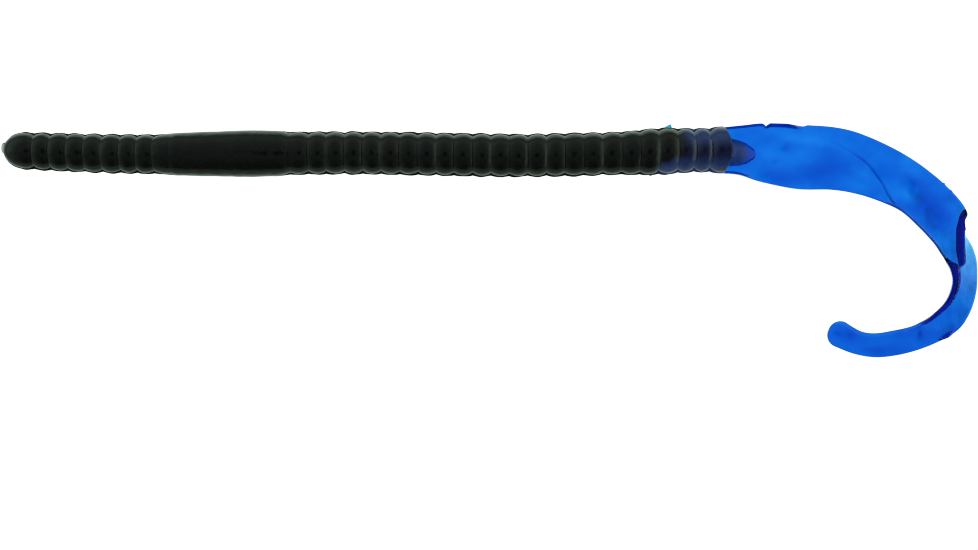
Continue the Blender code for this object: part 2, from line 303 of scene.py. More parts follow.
# Thick and thin places: (x, y, half length, half width, turn in degrees, extra thickness)
THICK_PLACES = (
    (100.3, -7.7, 3.5, 1.9, -58.0, 0.26),
    (102.7, -25.85, 0.8, 0.22, 35.0, 0.8),
    (85.5, -2.4, 5.0, 1.7, 4.0, 0.13),
    (79.0, -3.3, 3.0, 1.0, -15.0, 0.12),
    (84.0, 2.2, 3.5, 0.9, -6.0, -0.07),
    (79.5, -0.2, 3.5, 2.0, 0.0, -0.05),
    (97.2, -6.0, 1.2, 0.9, -50.0, -0.1),
    (97.6, -3.6, 1.2, 0.5, -40.0, 0.1),
    (79.7, 1.1, 0.7, 0.5, 60.0, 0.12),
    (78.2, -0.9, 0.5, 0.35, 0.0, 0.12),
    (76.0, 1.6, 2.4, 0.7, 20.0, 0.06),
    (84.5, -2.2, 5.0, 1.1, 12.0, 0.1),
    (91.5, -2.9, 3.0, 0.7, -25.0, -0.09),
    (82.0, 2.0, 3.0, 0.8, -8.0, -0.08),
    (96.2, -24.9, 0.5, 1.2, 15.0, 0.09),
    (92.6, -27.9, 1.6, 0.5, 0.0, 0.12),
    (89.0, -25.9, 0.9, 0.7, 30.0, 0.12),
    (87.4, -25.5, 0.5, 0.4, 0.0, 0.1),
    (99.2, -25.6, 0.5, 0.9, 0.0, 0.1),
)

# The crease across the blade, as points (x, y) along it
CREASE = (
    (83.6, 3.2),
    (87.2, 1.5),
    (88.9, 0.6),
    (90.6, -0.5),
    (91.9, -1.6),
    (93.4, -3.7),
    (94.3, -5.6),
    (95.3, -7.2),
)
CREASE_WIDTH = 0.14

# The casting's waves: (height, waves for each millimetre of x and of y, seed)
WAVES = ((0.13, 0.25, 0.45, 4.0), (0.035, 0.8, 1.0, 9.0))

# Notches and nibs of the outer edge: (x, how far it is drawn in, width). A shallow step follows the rim
NOTCHES = ((76.9, 0.36, 0.3), (102.0, -0.16, 0.1), (103.0, -0.12, 0.12))
RIM_STEP = 0.2

# Steps across the ribbon's section, and distances between its rings at the fold and elsewhere
ACROSS_STEPS = 64
FOLD_RING_STEP = 0.09
RIBBON_RING_STEP = 0.2


def along_table(table, at):
    """The table's values at a place along its first column."""
    places = [row[0] for row in table]
    return [float(np.interp(at, places, column)) for column in list(zip(*table))[1:]]


def smooth(x, low, high):
    """0 on the low side and 1 on the high side, with a smooth step between."""
    x = max(0.0, min(1.0, (x - low) / (high - low)))
    return x * x * (3 - 2 * x)


def catmull_rom(rows, at):
    """The rows' values at a place counted in rows."""
    i = min(int(at), len(rows) - 2)
    t = at - i
    near = [rows[max(0, min(len(rows) - 1, i + k))] for k in (-1, 0, 1, 2)]
    weights = (
        -0.5 * t + t * t - 0.5 * t**3,
        1 - 2.5 * t * t + 1.5 * t**3,
        0.5 * t + 2 * t * t - 1.5 * t**3,
        -0.5 * t * t + 0.5 * t**3,
    )
    return [sum(w * row[k] for w, row in zip(weights, near)) for k in range(len(rows[0]))]


def wander(x, seed, size):
    """A smooth random wave along x, about size high."""
    return size * noise.noise(Vector((x, seed * 7.3, 2.1)))


def placed(name, data, place=(0.0, 0.0, 0.0)):
    """A new object in the scene."""
    obj = bpy.data.objects.new(name, data)
    obj.location = place
    bpy.context.scene.collection.objects.link(obj)
    return obj


def lofted(name, loops, material):
    """A closed mesh through equal rings of points in millimetres, capped at both ends.

    The points' places at rest are kept in an attribute, so that the materials bend with the piece."""
    count = len(loops[0])
    points = np.array(loops, float).reshape(-1, 3)
    faces = []
    for row in range(len(loops) - 1):
        for i in range(count):
            j = (i + 1) % count
            a, b = row * count, (row + 1) * count
            faces.append((a + i, a + j, b + j, b + i))
    last = (len(loops) - 1) * count
    faces.append(tuple(range(count - 1, -1, -1)))
    faces.append(tuple(range(last, last + count)))
    mesh = bpy.data.meshes.new(name)
    mesh.from_pydata([tuple(point) for point in points * MM], [], faces)
    mesh.materials.append(material)
    mesh.polygons.foreach_set("use_smooth", [True] * (len(faces) - 2) + [False] * 2)
    ends = {tuple(sorted((i, (i + 1) % count))) for i in range(count)}
    ends |= {(a + last, b + last) for a, b in ends}
    for edge in mesh.edges:
        if tuple(sorted(edge.vertices)) in ends:
            edge.use_edge_sharp = True
    keep_rest(mesh)
    outward(mesh)
    return placed(name, mesh)


def keep_rest(mesh):
    """Keeps each point's place at rest, in millimetres, as the attribute rest."""
    places = np.zeros(len(mesh.vertices) * 3, np.float32)
    mesh.vertices.foreach_get("co", places)
    attribute = mesh.attributes.new("rest", "FLOAT_VECTOR", "POINT")
    attribute.data.foreach_set("vector", places / MM)


def outward(mesh):
    """Turns the faces outward if the mesh is inside out."""
    mesh.calc_loop_triangles()
    volume = 0.0
    for triangle in mesh.loop_triangles:
        a, b, c = (mesh.vertices[i].co for i in triangle.vertices)
        volume += a.dot(b.cross(c))
    if volume < 0:
        mesh.flip_normals()


def blend_across(obj, start, end, loops):
    """Finds the share of a joint from start to end that obj could blend over with its end rings rigid.

    It takes millimetres, bakes obj's transform, and returns that share."""
    middle = (start + end) / 2
    for share in (1.0, 0.95, 0.9, 0.85, 0.8, 0.75, 0.7, 0.65, 0.6, 0.5, 0.4):
        low = middle + (start - middle) * share
        high = middle + (end - middle) * share
        along = high - low
        before = max((Vector(p) - low).dot(along) for p in loops[0])
        after = min((Vector(p) - high).dot(along) for p in loops[-1])
        if before <= 0 <= after:
            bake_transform(obj)
            return share
    raise ValueError(f"{obj.name}: its ends don't clear the joint")


# ----------------------------------------------------------------------------------------------------
# Body skin
# ----------------------------------------------------------------------------------------------------


def body_places():
    """(x, y) of the nose tip, of each joint of the body, and of the end of the collar."""
    places = [(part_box("nose")[0].x / MM, NOSE_MIDDLE)]
    for name, _, _ in BODY_JOINTS:
        x, y, _ = JOINTS[name]["pos_m"]
        places.append((x / MM, y / MM))
    low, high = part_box("tail_collar")
    return places + [(high.x / MM, (low.y + high.y) / 2 / MM)]


PLACES = body_places()
COLLAR_END = PLACES[-1][0]
NOSE_TIP = PLACES[0][0]


def sway(x):
    """How far the body's middle lies off the X axis at x."""
    xs = [place[0] for place in PLACES]
    i = max(0, min(len(xs) - 2, int(np.searchsorted(xs, x)) - 1))
    return catmull_rom(PLACES, i + (x - xs[i]) / (xs[i + 1] - xs[i]))[1]


def girth(x):
    """Radius over the rib tops at x, without the nose and the collar's end."""
    if x <= GIRTH[0][0]:
        return GIRTH[0][1]
    for (x0, r0), (x1, r1) in zip(GIRTH, GIRTH[1:]):
        if x <= x1:
            return r0 + (r1 - r0) * smooth(x, x0, x1)
    return GIRTH[-1][1]


def grooves():
    """(x, depth) of every groove from nose to tail, a little uneven. The smooth band has none."""
    joints = [place[0] for place in PLACES[1:]]
    band_front = JOINTS["head_side_bend"]["pos_m"][0] / MM
    band_rear = JOINTS["body_side_bend"]["pos_m"][0] / MM
    pitch = (joints[1] - joints[0]) / RIBS_IN_LINK
    places = [joints[0] - 2 * pitch, joints[0] - pitch]
    for a, b in zip(joints, joints[1:]):
        count = 1 if abs(a - band_front) < 0.1 else RIBS_IN_LINK
        places += [a + (b - a) * i / count for i in range(count)]
    made = []
    for i, x in enumerate(places):
        if x > band_rear:
            x -= REAR_DRIFT * math.sin(math.pi * (x - band_rear) / (COLLAR_END - band_rear))
        x -= FRONT_DRIFT * smooth(-x, 15.0, 20.0)
        depth = RIB_DEPTH * (1 + wander(i * 1.3, 2, 0.3))
        off_band = smooth(band_front - x, -1.5, 5.0) + smooth(x - band_rear, -3.0, 4.0)
        depth *= BAND_GROOVES + (1 - BAND_GROOVES) * off_band
        if x > joints[-2] + 0.5:
            depth *= COLLAR_GROOVES
        made.append((x + wander(i * 1.7, 1, 0.12), depth))
    return made


GROOVES = grooves()


def groove_cut(x):
    """How far below the rib tops the skin lies at x. The smooth band only dips at its ends."""
    nearest = int(np.searchsorted([groove for groove, _ in GROOVES], x))
    cut = 0.0
    for i in (nearest - 1, nearest):
        if not 0 <= i < len(GROOVES):
            continue
        place, depth = GROOVES[i]
        beyond = i + 1 if x > place else i - 1
        half = abs(GROOVES[beyond][0] - place) / 2 if 0 <= beyond < len(GROOVES) else BAND_DIP
        if half > 1.5 * BAND_DIP:
            half = BAND_DIP
        cut += depth * max(0.0, 1 - abs(x - place) / half) ** 2
    return cut


def skin_radius(x):
    """Radius over the rib tops at x, with the round nose and the round end of the collar."""
    radius = girth(x)
    nose_end = NOSE_TIP + GATE_LENGTH + NOSE_REACH
    if x < nose_end:
        share = min(1.0, (nose_end - x) / NOSE_REACH)
        return radius * blunt(share, NOSE_BLUNTNESS)
    dome_start = COLLAR_END - DOME_BACK
    if x > dome_start:
        share = min(1.0, (x - dome_start) / DOME_LENGTH)
        return radius * blunt(share, DOME_BLUNTNESS)
    return radius


def blunt(share, power):
    """Height at a share of the way out along a blunt dome of height 1."""
    return max(0.0, 1 - share**power) ** (1 / power)


def is_ribbed(x):
    """1 over the ribs, fading to 0 on the smooth band."""
    band_front = JOINTS["head_side_bend"]["pos_m"][0] / MM
    band_rear = JOINTS["body_side_bend"]["pos_m"][0] / MM
    return max(smooth(band_front - x, -2.0, 3.0), smooth(x - band_rear, -3.0, 1.0))


def ring_angles():
    """Angles round the body, from its widest height on the -Y side over the back.

    They are finer at the parting line and at the edges of the belly."""
    fine = (0, 1.2, 2.4, 3.4, 4.4, 5.6, 7.5, 10, 13)
    belly_edge = (17, 20, 24, 28, 31, 34, 36, 38, 40, 42, 44, 47, 51, 56, 63, 72, 81)
    quarter = list(fine) + list(np.linspace(17, 90, 18))
    lower = list(fine[1:]) + list(belly_edge)
    upper = quarter + [180 - angle for angle in reversed(quarter[:-1])]
    under = [180 + angle for angle in lower] + [270] + [360 - angle for angle in reversed(lower)]
    return np.radians(np.array(upper + under, float))


RING = ring_angles()


def body_ring(x):
    """Ring of points of the skin at x: ribs over the back and sides, flat along the belly."""
    top = skin_radius(x)
    full = min(1.0, top / 2)
    cut = groove_cut(x) * full
    lip = WEB_LIP * full * is_ribbed(x) * (1 + wander(x * 0.9, 5, 0.8))
    middle = sway(x)
    to_collar = smooth(x, 62.0, 68.0)
    at_end = smooth(x, COLLAR_END - 1.8, COLLAR_END - 0.4)
    shift = COLLAR_BULGE * (0.35 * to_collar + 0.65 * at_end)
    ring = []
    for angle in RING:
        across, up = -math.cos(angle), math.sin(angle)
        off_widest = math.degrees(math.asin(min(1.0, abs(up))))
        web = math.exp(-((off_widest / WEB_ANGLE) ** 4))
        lump = LUMP_HEIGHT * full * noise.noise(Vector((x * 0.8, across * 1.7, up * 1.7)))
        radius = top - cut * (1 - WEB_FILL * web) + lip * web + lump
        if up < 0:
            belly = AXIS_HEIGHT / -up
            gap = radius - belly
            radius = (radius + belly - math.sqrt(gap * gap + BELLY_ROUNDING**2)) / 2
            radius = min(radius, belly)
        bulge = shift * max(0.0, 1 - (across * radius / girth(x)) ** 2)
        ring.append((x + bulge, middle + across * radius, max(0.0, AXIS_HEIGHT + up * radius)))
    return ring


def body_rows(start, end):
    """Places of the rings from start to end: one on each groove, and closer ones at the nose and dome."""
    stops = [start] + [x for x, _ in GROOVES if start + 0.01 < x < end - 0.01] + [end]
    rows = [start]
    for a, b in zip(stops, stops[1:]):
        count = max(1, round((b - a) / RING_STEP))
        rows += [a + (b - a) * i / count for i in range(1, count + 1)]
    tip = NOSE_TIP + GATE_LENGTH
    if start < tip + 0.1:
        nose = [tip + NOSE_REACH * (1 - math.cos(math.radians(a))) for a in range(4, 60, 4)]
        rows = nose + [x for x in rows if x > nose[-1] + RING_STEP / 2]
    if end > COLLAR_END:
        first = COLLAR_END - DOME_BACK
        dome = [first + DOME_LENGTH * math.sin(math.radians(a)) for a in range(0, 88, 6)]
        rows = [x for x in rows if x < first - RING_STEP / 2] + dome
    return rows


def add_flash(x, side, length, height, flash):
    """A thin torn scrap of blue plastic left standing out at the parting line."""
    edge = sway(x) + side * (girth(x) - FLASH_ROOT)
    loops = []
    for share in (0.0, 0.3, 0.55, 0.8, 1.0):
        half = length / 2 * (1 - share) ** 0.7 + 0.04
        thin = FLASH_THICKNESS * (1 - 0.6 * share)
        middle = x + FLASH_SLANT * share * share
        y = edge + side * height * share
        loops.append(
            [
                (middle - half, y, AXIS_HEIGHT),
                (middle, y + side * 0.08, AXIS_HEIGHT + thin),
                (middle + half, y, AXIS_HEIGHT),
                (middle, y - side * 0.03, AXIS_HEIGHT - thin),
            ]
        )
    scrap = lofted(f"flash_{round(x)}", loops, flash)
    return scrap


def body_seams():
    """Where the body's pieces meet: the last groove between each two joints, or the middle of the band."""
    joints = [place[0] for place in PLACES[1:-1]]
    seams = [NOSE_TIP + GATE_LENGTH]
    for before, after in zip(joints, joints[1:]):
        inner = [x for x, _ in GROOVES if before + 1.0 < x < after - 1.0]
        seams.append(inner[-1] if inner else (before + after) / 2)
    return seams + [COLLAR_END + DOME_LENGTH - DOME_BACK]


def add_body_skin(black, flash):
    """One piece for each joint of the body, from seam to seam, with the scraps of flash."""
    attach(add_flash(*FLASH_ON_LINK, flash), FLASH_LINK)
    seams = body_seams()
    for i, (_, first, second) in enumerate(BODY_JOINTS):
        loops = [body_ring(x) for x in body_rows(seams[i], seams[i + 1])]
        obj = lofted(f"skin_{i + 1}_{first}", loops, black)
        x, y = PLACES[i + 1]
        reach = min(2.4, x - seams[i], seams[i + 1] - x)
        start, end = Vector((x - reach, y, AXIS_HEIGHT)), Vector((x + reach, y, AXIS_HEIGHT))
        share = blend_across(obj, start, end, loops)
        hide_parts(first)
        if second in ("smooth_band", "tail_collar"):
            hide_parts(second)
        if second == "tail_collar":
            scrap = add_flash(*FLASH_AT_JOINT, flash)
            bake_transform(scrap)


def add_gate(pale):
    """The pale stub at the tip of the nose, where the plastic was poured in."""
    middle, height = NOSE_MIDDLE + GATE_OFFSET, AXIS_HEIGHT + 0.1
    turns = [2 * math.pi * i / 16 for i in range(16)]
    loops = []
    for share, half in GATE_PROFILE:
        x = NOSE_TIP + GATE_LENGTH + GATE_ROOT - share * (GATE_LENGTH + 0.1)
        flat = half * GATE_FLATNESS
        loops.append([(x, middle + half * math.cos(t), height + flat * math.sin(t)) for t in turns])
    gate = lofted("gate_stub", loops, pale)
    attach(gate, "nose")


# ----------------------------------------------------------------------------------------------------
# Ribbon
# ----------------------------------------------------------------------------------------------------


def extra_thickness(x, y):
    """How much thicker than usual the ribbon is at a place."""
    extra = 0.0
    for height, per_x, per_y, seed in WAVES:
        extra += height * noise.noise(Vector((x * per_x, y * per_y, seed)))
    for px, py, length, width, turn, amount in THICK_PLACES:
        cosine, sine = math.cos(math.radians(turn)), math.sin(math.radians(turn))
        along = (x - px) * cosine + (y - py) * sine
        across = (y - py) * cosine - (x - px) * sine
        extra += amount * math.exp(-((along / length) ** 2) - (across / width) ** 2)
    return extra


def crease_depth(x, y):
    """How far the crease stands out of the blade's underside."""
    off = min(off_segment(x, y, *a, *b) for a, b in zip(CREASE, CREASE[1:]))
    height = 0.06 + 0.15 * smooth(x, 87.5, 91.5)
    return height * math.exp(-((off / CREASE_WIDTH) ** 2))


def off_segment(x, y, x0, y0, x1, y1):
    """Distance of a point from the straight line between two points."""
    dx, dy = x1 - x0, y1 - y0
    share = max(0.0, min(1.0, ((x - x0) * dx + (y - y0) * dy) / (dx * dx + dy * dy)))
    return math.hypot(x - x0 - share * dx, y - y0 - share * dy)


def outer_dent(x):
    """How far the ribbon's outer edge is drawn in at x on the blade."""
    dent = sum(depth * math.exp(-(((x - place) / width) ** 2)) for place, depth, width in NOTCHES)
    return dent + RIM_STEP * smooth(x, 79.5, 82.0) * smooth(x, 82.9, 82.25)


def rim_height(x, off_outer, off_inner):
    """Height of the upright rims that stand along the edges of the ribbon's root."""
    before_notch = 0.5 * smooth(off_outer, 0.22, 0.06) * smooth(x, 77.0, 76.4)
    behind_notch = 0.7 * smooth(off_outer, 0.42, 0.16) * smooth(x, 76.6, 77.4) * smooth(x, 82.4, 80.2)
    along_inner = 0.5 * smooth(off_inner, 0.22, 0.05) * smooth(x, 75.0, 73.6)
    return before_notch + behind_notch + along_inner


def ribbon_frame(at):
    """Inner edge and outer edge at a station, and the two directions along and across the ribbon."""
    inner_x, inner_y, outer_x, outer_y = catmull_rom(EDGES, at)
    inner, outer = Vector((inner_x, inner_y, 0.0)), Vector((outer_x, outer_y, 0.0))
    across = (outer - inner).normalized()
    return inner, outer, Vector((across.y, -across.x, 0.0)), across


def walls(at, inner, outer):
    """Distances from the inner edge: end of the second wall, both sides of the first, end of the top."""
    width = (outer - inner).length
    second = along_table(SECOND_WALL, at)[0]
    if at < WALL_START:
        return 0.0, width, width, width
    left, right = along_table(FIRST_WALL, at)
    per_x = width / (outer.x - inner.x) if abs(outer.x - inner.x) > 0.1 else 1.0
    start = max(0.0, (left - inner.x) * per_x)
    end = min(width + 0.3, (right - inner.x) * per_x)
    gone = smooth(at, WALL_END - 0.15, WALL_END + 0.15)
    top_end = end + (second - end) * gone
    start = second if at > WALL_END or start < second else start
    return second, start, end, top_end


def open_below(at, u, second, start):
    """1 where only the upper level is solid, and 0 where a wall reaches down to the lower one."""
    if at < WALL_START:
        return 1.0
    if at > WALL_END or second >= start:
        return 0.0
    soft = WALL_SHARPNESS
    turned_down = min(1.0, second / (2 * soft))
    past_second = 1 - turned_down * (1 - smooth(u, second - soft, second + soft))
    return past_second * smooth(u, start + soft, start - soft)


def ribbon_heights(at, u, inner, outer, extra):
    """(bottom, top) of the ribbon's section at distance u from its inner edge."""
    width = (outer - inner).length
    upper, drop = along_table(LEVELS, at)
    lower = upper - drop
    second, start, end, top_end = walls(at, inner, outer)
    low_thick, slope = along_table(LOWER_LEVEL, at)
    if at < LOWER_LEVEL[0][0]:
        low_thick, slope = THICKNESS, 0.0

    # 1 on the upper level and the walls, 0 on the lower level
    on_top = 1.0
    if drop > 0 or at >= WALL_END:
        on_top = smooth(u, top_end + WALL_SHARPNESS, top_end - WALL_SHARPNESS)

    # The lower level is higher beside the wall than at its outer edge
    slope_start = end + (second - end) * smooth(at, SLOPE_START, SLOPE_END)
    room = max(0.4, width - slope_start)
    lift = slope * max(0.0, min(1.0, (width - u) / room))
    upper_top = upper + THICKNESS + extra
    lower_top = lower + low_thick * (1 + extra) + lift
    top = on_top * upper_top + (1 - on_top) * lower_top
    lift_below = 0.9 * lift * (1 - on_top) * smooth(u, top_end - 0.1, top_end + 0.4)
    bottom = lower + open_below(at, u, second, start) * drop + lift_below

    # The walls' tops are domed
    if at >= WALL_START and drop > 0:
        on_first = at < WALL_END and u > (second + start) / 2
        low, high = (start, end) if on_first else (0.0, second)
        middle, half = (low + high) / 2, max(0.2, (high - low) / 2)
        domed = max(0.0, 1 - ((u - middle) / half) ** 2) * min(1.0, drop)
        top += WALL_CROWN * (domed - on_top / 2)
    return bottom, max(top, bottom + LEAST_THICKNESS)


def ribbon_loop(at, squeeze=1.0, ahead=0.0):
    """Ring of points round the ribbon's section at a station. At the tip it is narrowed and moved ahead."""
    inner, outer, forward, across = ribbon_frame(at)
    width = (outer - inner).length
    middle = (inner + outer) / 2
    on_blade = at < WALL_START
    rounding = min(EDGE_ROUNDING, width * squeeze * 0.3)
    rim_here = FOLD_RIM * smooth(at, 5.5, 6.5) * smooth(at, 12.0, 11.5)
    undercut = along_table(UNDERCUT, at)[0]
    rows = []
    for i in range(ACROSS_STEPS + 1):
        u = width * i / ACROSS_STEPS
        dent = outer_dent(inner.x + across.x * u) * smooth(u / width, 0.7, 1.0) if on_blade else 0.0
        flat = middle + across * (u - dent - width / 2) * squeeze + forward * ahead
        bottom, top = ribbon_heights(at, u, inner, outer, extra_thickness(flat.x, flat.y))
        top += rim_here * smooth(u, 0.24, 0.04)
        if on_blade:
            top += rim_height(flat.x, width - u, u)
            bottom = max(0.0, bottom - crease_depth(flat.x, flat.y))
        tuck = undercut * max(0.0, 1 - u / UNDERCUT_REACH)
        rows.append((flat, bottom, top, flat + across * tuck))
    loop = [Vector((flat.x, flat.y, top)) for flat, _, top, _ in rows]
    loop += edge_points(rows[-1], across, rounding)
    loop += [Vector((under.x, under.y, bottom)) for _, bottom, _, under in reversed(rows)]
    loop += list(reversed(edge_points(rows[0], -across, rounding)))
    lean = SEAM_LEAN * forward.dot(middle - SEAM_TOP)
    return [tuple(point - forward * lean * (point.z - THICKNESS / 2)) for point in loop]


def edge_points(row, away, rounding):
    """Points round a free edge from its top corner to its bottom corner."""
    flat, bottom, top, under = row
    radius = min(rounding, (top - bottom) * 0.4)
    turns = [math.radians(degrees) for degrees in (25, 50, 72, 90)]
    arc = [(radius * math.sin(turn), radius * (1 - math.cos(turn))) for turn in turns]
    points = [flat + away * out + Vector((0.0, 0.0, top - down)) for out, down in arc]
    points.append((flat + under) / 2 + away * radius + Vector((0.0, 0.0, (top + bottom) / 2)))
    points += [under + away * out + Vector((0.0, 0.0, bottom + down)) for out, down in reversed(arc)]
    return points


def add_ribbon(clear):
    """One piece for each joint of the ribbon, from the middle of one link to the middle of the next."""
    stations = [joint[3] for joint in RIBBON_JOINTS]
    seams = [0.0] + [(a + b) / 2 for a, b in zip(stations, stations[1:])] + [float(len(EDGES) - 1)]
    for i, (joint, first, second, station) in enumerate(RIBBON_JOINTS):
        start, end = seams[i], seams[i + 1]
        ends = [(ribbon_frame(s)[0] + ribbon_frame(s)[1]) / 2 for s in (start, end)]
        near_fold = WALL_START - 1.5 < end and start < 20
        step = FOLD_RING_STEP if near_fold else RIBBON_RING_STEP
        length = (ends[1] - ends[0]).length
        count = max(12, round(length / step))
        first_loop = start - SEAM_OVERLAP * (end - start) / length if i else start
        loops = [ribbon_loop(first_loop + (end - first_loop) * k / count) for k in range(count + 1)]
        is_tip = i == len(RIBBON_JOINTS) - 1
        if is_tip:
            for degrees in TIP_TURNS:
                angle = math.radians(degrees)
                loops.append(ribbon_loop(end, math.cos(angle), TIP_RADIUS * math.sin(angle)))
        obj = lofted(f"ribbon_{i + 1}_{first}", loops, clear)
        middle = Vector([value / MM for value in JOINTS[joint]["pos_m"]])
        forward = ribbon_frame(station)[2]
        flat = Vector((middle.x, middle.y, 0.0))
        reach = min(3.0, 0.9 * (ends[0] - flat).length, 0.9 * (ends[1] - flat).length)
        blend_across(obj, middle - forward * reach, middle + forward * reach, loops)
        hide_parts("tail_root" if i == 0 else first)
        if is_tip:
            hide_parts(second)


def add_core(navy):
    """The navy core that tapers from the collar down onto the ribbon."""
    loops = []
    for share in CORE_RINGS:
        x = CORE_START + CORE_LENGTH * share
        half = CORE_HALF_WIDTH * math.sqrt(1 - share**1.6) * (1 + share * wander(x * 1.4, 3, CORE_WAVE))
        height = CORE_HEIGHT * (1 - share) ** 1.1 + CORE_TIP_HEIGHT
        middle = CORE_MIDDLE + CORE_DRIFT * share
        ring = []
        for i in range(CORE_STEPS + 1):
            angle = math.pi * i / CORE_STEPS
            off = math.cos(angle)
            lump = 1 + CORE_LUMPS * (1 - share) * noise.noise(Vector((x * 1.1, 2.2 * off, 5.0)))
            z = CORE_FLOOR + height * lump * math.sin(angle) ** 0.85
            ring.append((x, middle - half * off, z))
        ring.append((x, middle + half * 0.9, CORE_FLOOR - 0.2))
        ring.append((x, middle - half * 0.9, CORE_FLOOR - 0.2))
        loops.append(ring)
    core = lofted("tail_core", loops, navy)
    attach(core, "tail_collar")


# ----------------------------------------------------------------------------------------------------
# Materials
# ----------------------------------------------------------------------------------------------------

WHITE = (1.0, 1.0, 1.0, 1.0)

# The clear plastic's absorption: its colour, and its density for each metre
PLASTIC_COLOUR = (0.0625, 0.67, 0.901, 1.0)
PLASTIC_DENSITY = 8000.0


class Nodes:
    """Short calls for building a node tree."""

    def __init__(self, tree):
        self.tree = tree
        tree.nodes.clear()

    def add(self, kind, **settings):
        node = self.tree.nodes.new(kind)
        for key, value in settings.items():
            setattr(node, key, value)
        return node

    def link(self, output, target):
        self.tree.links.new(output, target)

    def math(self, operation, a, b=0.0):
        """An operation on two sockets or numbers."""
        node = self.add("ShaderNodeMath", operation=operation)
        for socket, value in zip(node.inputs, (a, b)):
            if isinstance(value, (int, float)):
                socket.default_value = value
            else:
                self.link(value, socket)
        return node.outputs[0]

    def ranged(self, value, low, high, to_low=0.0, to_high=1.0, kind="SMOOTHSTEP"):
        """The value's place between low and high, as a number from to_low to to_high."""
        node = self.add("ShaderNodeMapRange", interpolation_type=kind)
        self.link(value, node.inputs["Value"])
        for key, number in zip(("From Min", "From Max", "To Min", "To Max"), (low, high, to_low, to_high)):
            node.inputs[key].default_value = number
        return node.outputs["Result"]

    def mix(self, factor, a, b):
        """A mix of two colours or colour sockets: a where the factor is 0, b where it is 1."""
        node = self.add("ShaderNodeMix", data_type="RGBA")
        for socket, value in ((node.inputs[0], factor), (node.inputs[6], a), (node.inputs[7], b)):
            if isinstance(value, (tuple, float)):
                socket.default_value = value
            else:
                self.link(value, socket)
        return node.outputs[2]

    def rest(self):
        """The point's place at rest, in millimetres."""
        return self.add("ShaderNodeAttribute", attribute_name="rest").outputs["Vector"]

    def noise(self, vector, scale, detail=3.0):
        node = self.add("ShaderNodeTexNoise")
        self.link(vector, node.inputs["Vector"])
        node.inputs["Scale"].default_value = scale
        node.inputs["Detail"].default_value = detail
        node.inputs["Roughness"].default_value = 0.55
        return node.outputs["Fac"]

    def ramp(self, value, stops, tint):
        """A colour ramp with grey stops times a tint."""
        node = self.add("ShaderNodeValToRGB")
        self.link(value, node.inputs[0])
        elements = node.color_ramp.elements
        while len(elements) < len(stops):
            elements.new(0.5)
        for element, (place, grey) in zip(elements, stops):
            element.position = place
            element.color = (grey * tint[0], grey * tint[1], grey * tint[2], 1.0)
        return node.outputs[0]

    def split(self, vector):
        """The x, y and z of a vector."""
        node = self.add("ShaderNodeSeparateXYZ")
        self.link(vector, node.inputs[0])
        return node.outputs

    def bump(self, height, strength, distance, normal=None):
        """The normal of a bumpy surface, over another normal if there is one."""
        node = self.add("ShaderNodeBump")
        node.inputs["Strength"].default_value = strength
        node.inputs["Distance"].default_value = distance
        self.link(height, node.inputs["Height"])
        if normal is not None:
            self.link(normal, node.inputs["Normal"])
        return node.outputs["Normal"]


def new_material(name, kind="ShaderNodeBsdfPrincipled"):
    """A material with one shader, its node calls, the shader and the output."""
    material = bpy.data.materials.new(name)
    material.use_nodes = True
    nodes = Nodes(material.node_tree)
    output = nodes.add("ShaderNodeOutputMaterial")
    shader = nodes.add(kind)
    nodes.link(shader.outputs[0], output.inputs["Surface"])
    return material, nodes, shader, output


def uneven_surface(nodes, shader, rough, bump, detail=3.0):
    """Uneven roughness (noise scale, low, high) and a low bumpiness (noise scale, strength, distance).

    It returns the bumpy normal."""
    rest = nodes.rest()
    scale, low, high = rough
    spread = nodes.ranged(nodes.noise(rest, scale, detail), 0.3, 0.7, low, high)
    nodes.link(spread, shader.inputs["Roughness"])
    scale, strength, distance = bump
    normal = nodes.bump(nodes.noise(rest, scale, 2.0), strength, distance)
    nodes.link(normal, shader.inputs["Normal"])
    return normal


def body_material():
    """Glossy black plastic that turns navy at the collar along an uneven line.

    It turns navy sooner on the -Y side. Along the crown of the back the navy is darkened with painted
    shade, standing in for the thick plastic there letting less light through."""
    material, nodes, shader, _ = new_material("black_to_navy_plastic")
    rest = nodes.rest()
    x, y, _ = nodes.split(rest)
    uneven = nodes.math("MULTIPLY", nodes.math("SUBTRACT", nodes.noise(rest, 0.55), 0.5), 3.0)
    sooner = nodes.ranged(y, 0.4, -2.2, 0.0, 3.4)
    along = nodes.math("ADD", nodes.math("ADD", x, sooner), uneven)
    navy = nodes.ranged(along, 64.0, 65.8)
    mottle = nodes.noise(rest, 1.4)
    black = nodes.mix(mottle, (0.0014, 0.0016, 0.0014, 1.0), (0.0035, 0.004, 0.0035, 1.0))
    blue = nodes.mix(mottle, (0.006, 0.014, 0.055, 1.0), (0.016, 0.032, 0.105, 1.0))
    # Painted shade: the navy is darker along the crown, where the thick plastic lets less light through
    off_shaded_crown = nodes.math("ABSOLUTE", nodes.math("SUBTRACT", y, 0.2))
    blue = nodes.mix(nodes.ranged(off_shaded_crown, 0.3, 2.3, 0.92, 0.0), blue, (0.0012, 0.002, 0.016, 1.0))
    nodes.link(nodes.mix(navy, black, blue), shader.inputs["Base Color"])
    lumps = uneven_surface(nodes, shader, (0.9, 0.07, 0.15), (1.1, 0.35, 0.00012), 4.0)
    nodes.link(nodes.bump(nodes.noise(rest, 6.0), 0.12, 0.00003, lumps), shader.inputs["Normal"])
    shader.inputs["IOR"].default_value = 1.5
    return material


